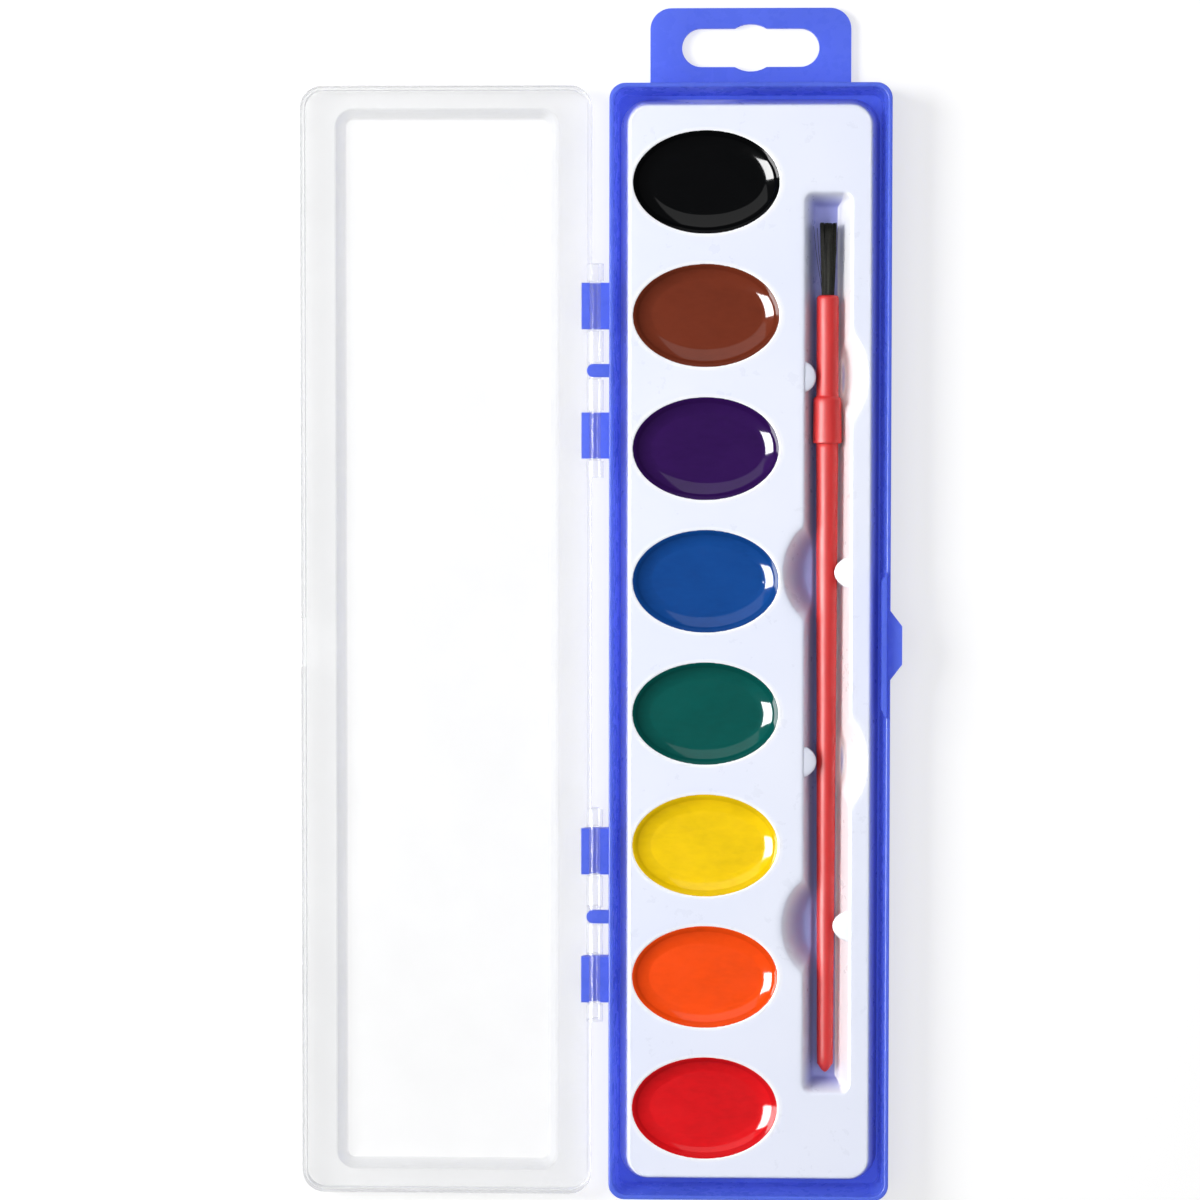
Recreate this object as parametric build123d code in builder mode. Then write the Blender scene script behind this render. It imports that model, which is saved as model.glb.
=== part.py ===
from build123d import *
import math
import os

# A watercolour paint set: a long case with a hinged clear lid, a tray of paint pans and a brush.
# Millimetres. +X points to the latch side, +Y to the hang tab and +Z up.
# The origin is the centre of the case's underside. The lid lies open on the case's left.

# Paint pans, in a column from the hang tab down
pan_names = ["black", "brown", "purple", "blue", "green", "yellow", "orange", "red"]
pan_length = 27.2
pan_width = 19.0
pan_gap = 6.0
pan_depth = 5.5
pan_wall_lean = 1.5
pan_lip_radius = 0.5

# Paint cakes cast in the pans
cake_side_gap = 0.05
cake_edge_drop = 0.6
cake_dish_band = 3.0
cake_dish_depth = 1.3
cake_edge_lip = 0.3
dish_mid_band = 0.4
dish_mid_depth = 0.74

# Brush
bristle_length = 13.6
bristle_root_radius = 1.1
bristle_tip_radius = 1.7
bristle_tip_scatter = 0.7
strand_count = 320
strand_sides = 3
strand_radius = 0.042
strand_root_depth = 0.3
plug_length = 3.0
plug_recess = 0.4
plug_cover = 0.06
brush_fit_gap = 0.05
tube_radius = 2.05
tube_length = 19.1
tube_mouth_round = 0.5
collar_radius = 2.7
collar_length = 8.8
collar_edge_round = 0.35
spigot_radius = 1.5
spigot_length = 7.0
handle_radius = 2.05
handle_end_radius = 1.5
handle_length = 119.7
handle_tip_length = 1.7
handle_tip_radius = 0.3

# Brush groove and its finger scoops and nubs
groove_width = 8.6
groove_head_gap = 5.5
groove_tail_gap = 3.2
groove_corner_radius = 1.8
groove_wall_lean = 1.3
brush_cover = 1.0
brush_seat_gap = 0.05
nub_length = 6.2
nub_height = 2.2
nub_drop = 0.3
nub_root = 1.2
nub_gap = 0.15
nub_collar_gap = 0.6
station_steps = [0.0, 36.8, 72.6, 103.8]
scoop_length = 20.0
scoop_depth = 5.5
scoop_wall_lean = 1.8
scoop_pan_wall = 0.9
scoop_edge_wall = 0.8

# Tray: a thin formed sheet
tray_sheet = 0.8
tray_foot_spread = 1.7
tray_corner_radius = 5.5
tray_edge_round = 0.8
tray_under_gap = 0.8
tray_head_margin = 4.9
tray_tail_margin = 3.8
groove_end_margin = 6.0
pan_side_margin = 0.9
pan_groove_gap = 5.0
groove_side_margin = 3.9

# Case
case_floor = 1.2
case_rim = 0.8
case_wall_spread = 0.9
case_corner_radius = 3.0
case_rim_rise = 0.75
case_rim_round = 0.3
case_foot_round = 0.8
tray_side_gap = 0.3
tray_end_gap = 0.7
tray_seat_gap = 0.05

# Hang tab
hang_slot_length = 26.0
hang_slot_height = 7.3
hang_bump_length = 10.2
hang_bump_height = 9.0
tab_side_margin = 6.0
tab_inner_margin = 3.7
tab_outer_margin = 3.8
tab_thickness = 1.5
tab_corner_radius = 4.0

# Hinge, in two like groups: a peg between two hooks
hinge_group_offset = 51.6
hinge_out = 2.7
hinge_clearance = 0.05
hinge_gap = 0.25
hinge_end_gap = 0.4
pin_radius = 1.15
hook_wall = 1.4
hook_lip_height = 0.6
hook_length = 8.7
peg_width = 2.5
peg_thickness = 1.1
peg_reach = 1.5
inner_lug_length = 5.8
outer_lug_length = 3.2
lug_radius = 1.6

# Latch
latch_length = 27.4
latch_rise = 1.5
latch_drop = 5.0
latch_gap = 0.35
latch_end_slant = 1.6
thumb_length = 13.0
thumb_end_length = 7.2
thumb_reach = 2.2
thumb_thickness = 1.6
notch_length = 9.4
notch_depth = 1.5

# Lid
lid_depth = 5.0
lid_border_depth = 3.0
lid_sheet = 0.8
lid_corner_radius = 4.2
lid_setback = 0.75
lid_overhang = 0.4
lid_seat_gap = 0.05
lid_edge_round = 0.5
panel_side_border = 6.6
panel_end_border = 4.3
panel_corner_radius = 3.2
panel_slope = 1.8

# Tray layout, worked out from the pans and the brush
pan_count = len(pan_names)
pan_pitch = pan_width + pan_gap
pan_run = pan_count * pan_width + (pan_count - 1) * pan_gap
brush_length = handle_length + collar_length + tube_length + bristle_length
groove_length = brush_length + groove_head_gap + groove_tail_gap
tray_top_width = pan_side_margin + pan_length + pan_groove_gap + groove_width + groove_side_margin
tray_top_length = max(
    pan_run + tray_head_margin + tray_tail_margin,
    groove_length + 2 * groove_end_margin,
)
tray_foot_width = tray_top_width + 2 * tray_foot_spread
tray_foot_length = tray_top_length + 2 * tray_foot_spread
pan_x = -tray_top_width / 2 + pan_side_margin + pan_length / 2
first_pan_y = (pan_run - pan_width) / 2 + (tray_tail_margin - tray_head_margin) / 2
brush_x = tray_top_width / 2 - groove_side_margin - groove_width / 2

# Heights
groove_depth = 2 * collar_radius + brush_cover
tray_height = max(groove_depth, pan_depth, scoop_depth) + tray_sheet + tray_under_gap
tray_foot_z = case_floor + tray_seat_gap
tray_top_z = tray_foot_z + tray_height
groove_floor_z = tray_top_z - groove_depth
pan_floor_z = tray_top_z - pan_depth
scoop_floor_z = tray_top_z - scoop_depth
cake_edge_z = tray_top_z - cake_edge_drop
case_height = tray_top_z + case_rim_rise
tray_lean = math.degrees(math.atan(tray_foot_spread / tray_height))
groove_lean = math.degrees(math.atan(groove_wall_lean / groove_depth))

# Case plan
case_floor_width = tray_foot_width + 2 * tray_side_gap
case_floor_length = tray_foot_length + 2 * tray_end_gap
case_mouth_width = case_floor_width + 2 * case_wall_spread
case_mouth_length = case_floor_length + 2 * case_wall_spread
case_width = case_mouth_width + 2 * case_rim
case_length = case_mouth_length + 2 * case_rim
case_lean = math.degrees(math.atan(case_wall_spread / (case_height - case_floor)))
tab_width = hang_slot_length + 2 * tab_side_margin
tab_length = tab_inner_margin + hang_slot_height + tab_outer_margin
hang_slot_y = case_length / 2 + tab_inner_margin + hang_slot_height / 2

# Hinge and lid plan. The open lid's panel lies level with the case's underside
hinge_x = -(case_width / 2 + hinge_out)
hinge_z = (case_height + lid_seat_gap + lid_depth) / 2
hook_bore_radius = pin_radius + hinge_clearance
hook_radius = hook_bore_radius + hook_wall
hook_offset = peg_width / 2 + inner_lug_length + hook_length / 2 + 2 * hinge_end_gap
flange_length = 2 * (hook_offset + hook_length / 2 + hinge_end_gap + outer_lug_length)
hinge_groups = [hinge_group_offset, -hinge_group_offset]
hook_places = [group + side * hook_offset for group in hinge_groups for side in (1, -1)]
lid_near_x = hinge_x - lid_setback
lid_far_x = 2 * hinge_x - (case_width / 2 + lid_overhang)
lid_width = lid_near_x - lid_far_x
lid_length = case_length
lid_mid_x = (lid_near_x + lid_far_x) / 2
lid_rim_z = lid_depth
border_low_z = lid_depth - lid_border_depth
border_top_z = border_low_z + lid_sheet
panel_drop = border_low_z
panel_lean = math.atan(panel_slope / panel_drop)
panel_width = lid_width - 2 * panel_side_border
panel_length = lid_length - 2 * panel_end_border
panel_cover = lid_sheet * (1 - math.sin(panel_lean)) / math.cos(panel_lean)

# Brush line, tilted so that its collar and its thin end both lie on the groove's floor
brush_tilt = math.atan2(collar_radius - handle_end_radius, handle_length - handle_tip_length)
brush_rise = math.sin(brush_tilt)
brush_run = math.cos(brush_tilt)
brush_end_y = groove_tail_gap - groove_length / 2
brush_end_z = groove_floor_z + brush_seat_gap + handle_end_radius - handle_tip_length * brush_rise
brush_end = Vector(brush_x, brush_end_y, brush_end_z)
brush_way = Vector(0, brush_run, brush_rise)
brush_axis = Axis(brush_end, brush_way)
brush_side = Plane(origin=brush_end, x_dir=(1, 0, 0), z_dir=(0, -brush_rise, brush_run))
collar_start = handle_length
tube_start = collar_start + collar_length
mouth = tube_start + tube_length
first_station_y = brush_end_y + tube_start * brush_run + nub_collar_gap + nub_length / 2


def brush_plane(along):
    """The plane square to the brush at a distance from the handle's end."""
    return Plane(origin=brush_end + brush_way * along, x_dir=(1, 0, 0), z_dir=brush_way)


def brush_radius_at(y):
    """The brush's half width beside a place in the groove."""
    along = (y - brush_end_y) / brush_run
    if along > tube_start:
        return tube_radius
    share = max(along, 0) / handle_length
    return handle_end_radius + (handle_radius - handle_end_radius) * share


def pan_place(index):
    """The height of a pan's centre along the column."""
    return first_pan_y - index * pan_pitch


def well_lean_at(z):
    """How far a well's wall has come in at a height."""
    return pan_wall_lean * (tray_top_z - z) / pan_depth


def ellipse_at(x, y, z, x_radius, y_radius):
    """A level ellipse, as one section of a loft."""
    with BuildSketch(Plane(origin=(x, y, z))) as section:
        Ellipse(x_radius, y_radius)
    return section.sketch


def pan_pocket(y, cover):
    """A well's space, or with a cover the sheet and the space together."""
    half_x = pan_length / 2 + cover
    half_y = pan_width / 2 + cover
    low_x = half_x - pan_wall_lean
    low_y = half_y - pan_wall_lean
    top = ellipse_at(pan_x, y, tray_top_z, half_x, half_y)
    floor = ellipse_at(pan_x, y, pan_floor_z - cover, low_x, low_y)
    loft(sections=[top, floor], ruled=True, mode=Mode.SUBTRACT)


def scoop_reach(side):
    """How far a scoop reaches from the brush's line: to the pans, or to the tray's edge."""
    if side < 0:
        return brush_x - (pan_x + pan_length / 2) - scoop_pan_wall
    return tray_top_width / 2 - brush_x - scoop_edge_wall


def half_ellipse_at(y, z, side, x_radius, y_radius):
    """Half an ellipse on one side of the brush's line."""
    with BuildSketch(Plane(origin=(brush_x, y, z))) as section:
        Ellipse(x_radius, y_radius)
        with Locations((-side * x_radius, 0)):
            Rectangle(2 * x_radius, 2 * y_radius, mode=Mode.SUBTRACT)
    return section.sketch


def scoop_pocket(y, side, cover):
    """A finger scoop beside the brush, or with a cover the sheet and the space together."""
    reach = scoop_reach(side) + cover
    half = scoop_length / 2 + cover
    low_reach = reach - scoop_wall_lean
    low_half = half - scoop_wall_lean
    top = half_ellipse_at(y, tray_top_z, side, reach, half)
    floor = half_ellipse_at(y, scoop_floor_z - cover, side, low_reach, low_half)
    loft(sections=[top, floor], ruled=True, mode=Mode.SUBTRACT)


def groove_pocket(cover):
    """The brush's groove, or with a cover the sheet and the groove together."""
    with BuildSketch(Plane(origin=(brush_x, 0, tray_top_z))) as outline:
        RectangleRounded(
            groove_width + 2 * cover, groove_length + 2 * cover, groove_corner_radius + cover
        )
    extrude(outline.sketch, -(groove_depth + cover), taper=groove_lean, mode=Mode.SUBTRACT)


def stations():
    """Each nub's place along the groove, with the side of its scoop. The nub faces the scoop."""
    for index, step in enumerate(station_steps):
        side = 1 if index % 2 == 0 else -1
        yield first_station_y - step, side


def cut_pockets(cover):
    """Every pocket of the tray."""
    for index in range(pan_count):
        pan_pocket(pan_place(index), cover)
    groove_pocket(cover)
    for y, side in stations():
        scoop_pocket(y, side, cover)


def build_tray():
    """A thin sheet formed into eight wells and a groove, open underneath."""
    with BuildPart() as underside:
        with BuildSketch(Plane.XY.offset(tray_foot_z)):
            RectangleRounded(
                tray_foot_width - 2 * tray_sheet,
                tray_foot_length - 2 * tray_sheet,
                tray_corner_radius - tray_sheet,
            )
        extrude(amount=tray_height - tray_sheet, taper=tray_lean)
        cut_pockets(tray_sheet)

    with BuildPart() as paint_tray:
        with BuildSketch(Plane.XY.offset(tray_foot_z)):
            RectangleRounded(tray_foot_width, tray_foot_length, tray_corner_radius)
        extrude(amount=tray_height, taper=tray_lean)
        fillet(paint_tray.faces().sort_by(Axis.Z)[-1].edges(), radius=tray_edge_round)
        for index in range(pan_count):
            pan_pocket(pan_place(index), 0)
        fillet(
            [wire.edge() for wire in paint_tray.faces().sort_by(Axis.Z)[-1].inner_wires()],
            radius=pan_lip_radius,
        )
        groove_pocket(0)
        for y, side in stations():
            scoop_pocket(y, side, 0)
        for y, side in stations():
            tip = brush_radius_at(y) + nub_gap
            root = groove_width / 2 + nub_root
            with BuildSketch(Plane(origin=(brush_x, y, tray_top_z - nub_drop))):
                with Locations((-side * root, 0)):
                    Ellipse(root - tip, nub_length / 2)
                with Locations((-side * 2 * root, 0)):
                    Rectangle(2 * root, nub_length, mode=Mode.SUBTRACT)
            extrude(amount=-nub_height)
        add(underside.part, mode=Mode.SUBTRACT)
    paint_tray.part.label = "paint_tray"
    return paint_tray.part


def build_cake(index):
    """A paint cake that fills its well, with a dished top."""
    y = pan_place(index)
    floor_shrink = pan_wall_lean + cake_side_gap
    edge_shrink = well_lean_at(cake_edge_z) + cake_side_gap
    edge_x = pan_length / 2 - edge_shrink
    edge_y = pan_width / 2 - edge_shrink
    floor_x = pan_length / 2 - floor_shrink
    floor_y = pan_width / 2 - floor_shrink
    with BuildPart() as cake:
        floor = ellipse_at(pan_x, y, pan_floor_z, floor_x, floor_y)
        edge = ellipse_at(pan_x, y, cake_edge_z, edge_x, edge_y)
        loft(sections=[floor, edge], ruled=True)
        dish = []
        for band, depth in ((0, 0), (dish_mid_band, dish_mid_depth), (1, 1)):
            inset = cake_edge_lip + band * cake_dish_band
            level = cake_edge_z - depth * cake_dish_depth
            dish.append(ellipse_at(pan_x, y, level, edge_x - inset, edge_y - inset))
        loft(sections=dish, mode=Mode.SUBTRACT)
    cake.part.label = "paint_" + pan_names[index]
    return cake.part


def build_ferrule():
    """A red sleeve: a thin tube with a wider collar that grips the handle."""
    bore = bristle_root_radius + plug_cover + brush_fit_gap
    socket = spigot_radius + brush_fit_gap
    socket_top = collar_start + spigot_length + brush_fit_gap
    with BuildPart() as brush_ferrule:
        with BuildSketch(brush_side):
            with BuildLine():
                Polyline(
                    (bore, mouth),
                    (tube_radius, mouth),
                    (tube_radius, tube_start),
                    (collar_radius, tube_start),
                    (collar_radius, collar_start),
                    (socket, collar_start),
                    (socket, socket_top),
                    (bore, socket_top),
                    close=True,
                )
            make_face()
        revolve(axis=brush_axis)
        rings = brush_ferrule.edges().filter_by(GeomType.CIRCLE)
        mouth_ring = rings.group_by(brush_axis)[-1].sort_by(SortBy.RADIUS)[-1]
        fillet(mouth_ring, radius=tube_mouth_round)
        rings = brush_ferrule.edges().filter_by(GeomType.CIRCLE)
        fillet(rings.sort_by(SortBy.RADIUS)[-2:], radius=collar_edge_round)
    brush_ferrule.part.label = "brush_ferrule"
    return brush_ferrule.part


def build_handle():
    """A tapered red rod with a spigot at its thick end and a short point at the other."""
    with BuildPart() as brush_handle:
        with BuildSketch(brush_side):
            with BuildLine():
                Polyline(
                    (0, 0),
                    (handle_tip_radius, 0),
                    (handle_end_radius, handle_tip_length),
                    (handle_radius, handle_length),
                    (spigot_radius, handle_length),
                    (spigot_radius, handle_length + spigot_length),
                    (0, handle_length + spigot_length),
                    close=True,
                )
            make_face()
        revolve(axis=brush_axis)
    brush_handle.part.label = "brush_handle"
    return brush_handle.part


def strand_wire(plane, x, y, radius):
    """One cross-section of a strand."""
    corners = []
    for corner in range(strand_sides):
        angle = 2 * math.pi * corner / strand_sides
        place = (x + radius * math.cos(angle), y + radius * math.sin(angle), 0)
        corners.append(plane.from_local_coords(Vector(*place)))
    return Wire.make_polygon(corners, close=True)


def build_bristles():
    """Fine strands that flare from a small round plug in the ferrule's mouth."""
    plug_top = mouth - plug_recess
    golden_angle = math.pi * (3 - math.sqrt(5))
    strands = []
    for index in range(strand_count):
        share = math.sqrt((index + 1) / (strand_count + 1))
        angle = index * golden_angle
        scatter = bristle_tip_scatter * math.cos(angle * strand_sides) ** 2
        root_plane = brush_plane(plug_top - strand_root_depth)
        tip_plane = brush_plane(mouth + bristle_length - scatter)
        root_reach = (bristle_root_radius - strand_radius) * share
        tip_reach = (bristle_tip_radius - strand_radius) * share
        root = strand_wire(
            root_plane, root_reach * math.cos(angle), root_reach * math.sin(angle), strand_radius
        )
        tip = strand_wire(
            tip_plane, tip_reach * math.cos(angle), tip_reach * math.sin(angle), strand_radius
        )
        strands.append(Solid.make_loft([root, tip], ruled=True))
    with BuildPart() as brush_bristles:
        with BuildSketch(brush_plane(plug_top)):
            Circle(bristle_root_radius + plug_cover)
        extrude(amount=-plug_length)
        add(strands)
    brush_bristles.part.label = "brush_bristles"
    return brush_bristles.part


def hinge_plane(y):
    """The plane square to the hinge line, with its own Y pointing up."""
    return Plane(origin=(hinge_x, y, hinge_z), x_dir=(1, 0, 0), z_dir=(0, -1, 0))


def build_base():
    """The blue case: a long box with a hang tab, hinge hooks, pegs and a latch."""
    wall_grip = case_rim / 2
    with BuildPart() as base_case:
        with BuildSketch():
            RectangleRounded(case_width, case_length, case_corner_radius)
        extrude(amount=case_height)
        fillet(base_case.faces().sort_by(Axis.Z)[0].edges(), radius=case_foot_round)

        # Hang tab, level with the underside
        tab_back = case_rim + case_foot_round
        with BuildSketch():
            with Locations((0, case_length / 2 + (tab_length - tab_back) / 2)):
                Rectangle(tab_width, tab_length + tab_back)
        extrude(amount=tab_thickness)
        tab_corners = base_case.edges().filter_by(Axis.Z).group_by(Axis.Y)[-1]
        fillet(tab_corners, radius=tab_corner_radius)
        with BuildSketch():
            with Locations((0, hang_slot_y)):
                SlotOverall(hang_slot_length, hang_slot_height)
                Ellipse(hang_bump_length / 2, hang_bump_height / 2)
        extrude(amount=tab_thickness, mode=Mode.SUBTRACT)

        # Inside of the case
        with BuildSketch(Plane.XY.offset(case_height)):
            RectangleRounded(
                case_mouth_width, case_mouth_length, case_corner_radius - case_rim / 2
            )
        extrude(amount=-(case_height - case_floor), taper=case_lean, mode=Mode.SUBTRACT)
        fillet(base_case.faces().sort_by(Axis.Z)[-1].edges(), radius=case_rim_round)

        # Hooks that the lid's pin snaps into from above
        for y in hook_places:
            with BuildSketch(hinge_plane(y)):
                Circle(hook_radius)
                with Locations(((hinge_out + wall_grip) / 2, (hook_lip_height - hook_radius) / 2)):
                    Rectangle(hinge_out + wall_grip, hook_radius + hook_lip_height)
                with Locations((0, hook_lip_height + hook_radius / 2)):
                    Rectangle(2 * hook_radius, hook_radius, mode=Mode.SUBTRACT)
                Circle(hook_bore_radius, mode=Mode.SUBTRACT)
            extrude(amount=hook_length / 2, both=True)

        # Pegs that hold the pin down
        peg_low = hinge_z + hook_bore_radius + hinge_clearance
        for y in hinge_groups:
            with BuildSketch(Plane(origin=(hinge_x, y, peg_low))):
                with Locations(((hinge_out + wall_grip - peg_reach + peg_width / 2) / 2, 0)):
                    Rectangle(hinge_out + wall_grip + peg_reach - peg_width / 2, peg_width)
                with Locations((peg_width / 2 - peg_reach, 0)):
                    Circle(peg_width / 2)
            extrude(amount=peg_thickness)

        # Latch plate that stands up inside the lid's free edge
        plate_in = case_floor_width / 2
        plate_out = case_width / 2 + lid_overhang - lid_sheet - latch_gap
        with BuildSketch(Plane.XY.offset(case_height - latch_drop)):
            with BuildLine():
                Polyline(
                    (plate_out, latch_length / 2),
                    (plate_in, latch_length / 2 - latch_end_slant),
                    (plate_in, latch_end_slant - latch_length / 2),
                    (plate_out, -latch_length / 2),
                    close=True,
                )
            make_face()
        extrude(amount=latch_drop + latch_rise)

        # Thumb tab outside the wall
        thumb_in = case_width / 2 - wall_grip
        thumb_out = case_width / 2 + thumb_reach
        with BuildSketch(Plane.XY.offset(case_height - thumb_thickness)):
            with BuildLine():
                Polyline(
                    (thumb_in, thumb_length / 2),
                    (case_width / 2, thumb_length / 2),
                    (thumb_out, thumb_end_length / 2),
                    (thumb_out, -thumb_end_length / 2),
                    (case_width / 2, -thumb_length / 2),
                    (thumb_in, -thumb_length / 2),
                    close=True,
                )
            make_face()
        extrude(amount=thumb_thickness)
    base_case.part.label = "base_case"
    return base_case.part


def build_lid():
    """The clear lid, lying open with its inside up and its pins in the hooks."""
    with BuildPart() as lid:
        with BuildSketch(Plane(origin=(lid_mid_x, 0, border_low_z))):
            RectangleRounded(lid_width, lid_length, lid_corner_radius)
        extrude(amount=lid_border_depth)
        fillet(lid.faces().sort_by(Axis.Z)[0].edges(), radius=lid_edge_round)
        with BuildSketch(Plane(origin=(lid_mid_x, 0, border_low_z))):
            RectangleRounded(
                panel_width + 2 * panel_cover,
                panel_length + 2 * panel_cover,
                panel_corner_radius + panel_cover,
            )
        extrude(amount=-panel_drop, taper=math.degrees(panel_lean))

        # Inside of the lid: a shallow border and a deeper panel
        with BuildSketch(Plane(origin=(lid_mid_x, 0, lid_rim_z))):
            RectangleRounded(
                lid_width - 2 * lid_sheet, lid_length - 2 * lid_sheet, lid_corner_radius - lid_sheet
            )
        extrude(amount=border_top_z - lid_rim_z, mode=Mode.SUBTRACT)
        with BuildSketch(Plane(origin=(lid_mid_x, 0, border_top_z))):
            RectangleRounded(panel_width, panel_length, panel_corner_radius)
        extrude(amount=-panel_drop, taper=math.degrees(panel_lean), mode=Mode.SUBTRACT)

        # Notch in the free edge
        with BuildSketch(Plane(origin=(lid_far_x, 0, lid_rim_z))):
            Rectangle(4 * lid_sheet, notch_length)
        extrude(amount=-notch_depth, mode=Mode.SUBTRACT)

        # Lugs that carry the hinge pins
        web_low = border_top_z - hinge_z
        for y in hinge_groups:
            with BuildSketch(hinge_plane(y)):
                Circle(lug_radius)
                with Locations((-lid_setback - lid_sheet, web_low)):
                    Rectangle(
                        lid_sheet + lid_setback + pin_radius / 2, -web_low, align=(Align.MIN, Align.MIN)
                    )
            extrude(amount=flange_length / 2, both=True)

        # Room for the hooks and pegs as the lid swings
        peg_top = hook_bore_radius + hinge_clearance + peg_thickness
        for y in hook_places:
            with BuildSketch(hinge_plane(y)):
                Circle(hook_radius + hinge_gap)
            extrude(amount=hook_length / 2 + hinge_end_gap, both=True, mode=Mode.SUBTRACT)
        for y in hinge_groups:
            with BuildSketch(hinge_plane(y)):
                Circle(math.hypot(peg_reach, peg_top) + hinge_gap)
            extrude(amount=peg_width / 2 + hinge_end_gap, both=True, mode=Mode.SUBTRACT)

        # Hinge pins
        for y in hinge_groups:
            with BuildSketch(hinge_plane(y)):
                Circle(pin_radius)
            extrude(amount=flange_length / 2, both=True)
    lid.part.label = "lid"
    return lid.part


os.makedirs("parts", exist_ok=True)
pieces = [build_base(), build_lid(), build_tray()]
pieces += [build_cake(index) for index in range(pan_count)]
pieces += [build_handle(), build_ferrule(), build_bristles()]
for piece in pieces:
    export_step(piece, f"parts/{piece.label}.step")
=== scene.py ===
import math
import random

import bpy
import numpy as np
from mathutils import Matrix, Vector


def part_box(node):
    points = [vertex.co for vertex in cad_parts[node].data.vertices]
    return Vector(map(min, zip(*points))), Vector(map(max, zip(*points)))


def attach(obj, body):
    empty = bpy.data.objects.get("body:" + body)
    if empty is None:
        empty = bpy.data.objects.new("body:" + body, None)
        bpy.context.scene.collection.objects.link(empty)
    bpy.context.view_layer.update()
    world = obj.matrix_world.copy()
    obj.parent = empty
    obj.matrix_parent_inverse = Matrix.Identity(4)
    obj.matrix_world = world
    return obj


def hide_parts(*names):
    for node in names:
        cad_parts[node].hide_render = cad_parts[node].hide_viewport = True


# Looks of the watercolour paint set, built around the CAD frame.
# Shapes are worked out in millimetres and turned to metres when a mesh is made.

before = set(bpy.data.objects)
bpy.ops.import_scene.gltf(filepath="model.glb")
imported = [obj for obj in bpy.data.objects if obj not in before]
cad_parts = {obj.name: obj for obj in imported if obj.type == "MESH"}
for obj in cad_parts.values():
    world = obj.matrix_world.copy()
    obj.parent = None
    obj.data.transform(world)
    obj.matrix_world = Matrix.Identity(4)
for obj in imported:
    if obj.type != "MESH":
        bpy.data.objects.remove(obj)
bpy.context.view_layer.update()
mm = 0.001

# Paint colours, in their order from the hang tab down
pan_colours = {
    "black": (0.0022, 0.0024, 0.0028),
    "brown": (0.165, 0.030, 0.013),
    "purple": (0.030, 0.006, 0.082),
    "blue": (0.006, 0.062, 0.275),
    "green": (0.0025, 0.088, 0.076),
    "yellow": (0.88, 0.58, 0.004),
    "orange": (0.92, 0.075, 0.006),
    "red": (0.70, 0.008, 0.012),
}

# Camera
camera_place = (-4.1, 38.6, 700.0)
camera_turn = (-2.5, 2.0, 0.05)
camera_lens = 110.0

# Tray sheet
tray_slope = 1.7
tray_corner = 5.5
tray_edge_soft = 0.9
tray_sheet = 0.8
tray_grid = 0.25
underside_grid = 0.8
well_half = (13.6, 9.5)
well_depth = 5.5
well_run = 2.0
well_lip = 0.3
shoulder_dip = 0.25
shoulder_width = 1.1
groove_half = (4.3, 84.95)
groove_corner = 1.8
groove_depth = 6.4
groove_run = 2.4
groove_lip = 0.45
scoop_reaches = {-1: 8.6, 1: 7.6}
scoop_half = 10.6
scoop_depth = 5.5
scoop_run = 4.6
scoop_lip = 0.5
pocket_blend = 0.7

# Nubs that hold the brush down: roots and tips are measured across, from the groove's middle
nub_places = (50.45, 13.65, -22.15, -53.35)
nub_sides = (-1, 1, -1, 1)
nub_half_length = 3.1
nub_thickness = 1.1
nub_tips = (2.2, 1.35, 1.9, 1.25)
nub_root = 5.3
nub_drop = 0.3
nub_slope = 0.2
nub_back = 0.2
nub_crown_power = 0.55
nub_outline_power = 0.45
nub_rings = 14
nub_segments = 48

# Paint cakes
cake_half = (13.78, 9.68)
cake_edge_z = 8.95
cake_band = 3.45
cake_depth_range = (0.93, 1.05)
cake_wobbles = (0.05, 0.035, 0.06)
cake_sag = 0.05
cake_ripple = 0.006
cake_base_inset = 2.4
cake_base_lift = 0.05
cake_edge_zone = 1.0
edge_gloss = 0.12
black_gloss = 0.35
cake_rings_band = 44
cake_rings_flat = 18
cake_segments = 160

# Brush
brush_x = 14.6
brush_end = (14.6, -81.75, 4.383)
handle_length = 119.7
handle_tip = 1.7
handle_tip_round = 0.12
handle_tip_flat = 0.06
handle_tip_radius = 0.3
handle_tip_power = 0.95
handle_end_radius = 1.5
handle_radius = 2.05
handle_overlap = 0.6
handle_rings = 80
collar_length = 8.8
collar_radius = 2.7
collar_bore = 1.6
collar_taper = 0.012
tube_length = 19.1
tube_radius = 2.05
lathe_segments = 72
seam_height = 0.035
seam_width = 0.07
full_seam_radius = 1.2
wave_heights = (0.012, 0.008)
wave_rates = (0.35, 1.3)
brush_tilt = math.atan2(collar_radius - handle_end_radius, handle_length - handle_tip)

# Hair
bristle_length = 13.6
bristle_root = 1.12
bristle_tip = 1.62
hair_count = 760
hair_radius = 0.047
hair_sides = 5
hair_thinning = 0.25
hair_root_depth = 1.2
hair_stations = 8
hair_clumps = 15
clump_lengths = (-0.35, 0.15)
clump_length_share = 0.6
clump_pull = (0.1, 0.45)
tip_scatter = 0.05
bend_scatter = 0.05
cut_scatter = 0.22
stray_radius = 0.055
hair_gloss = 0.25

# Light and floor
floor_half = 3.0
floor_z = -0.0001
floor_seen_base = 0.42
floor_seen_glow = 0.62
horizon_light = 0.30
zenith_light = 0.05
mirrored_light = 0.06


def box_mm(node):
    """A CAD node's lowest and highest corners in millimetres."""
    low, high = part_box(node)
    return np.array(low) / mm, np.array(high) / mm


def link(obj):
    """Puts an object in the scene."""
    bpy.context.scene.collection.objects.link(obj)
    return obj


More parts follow.
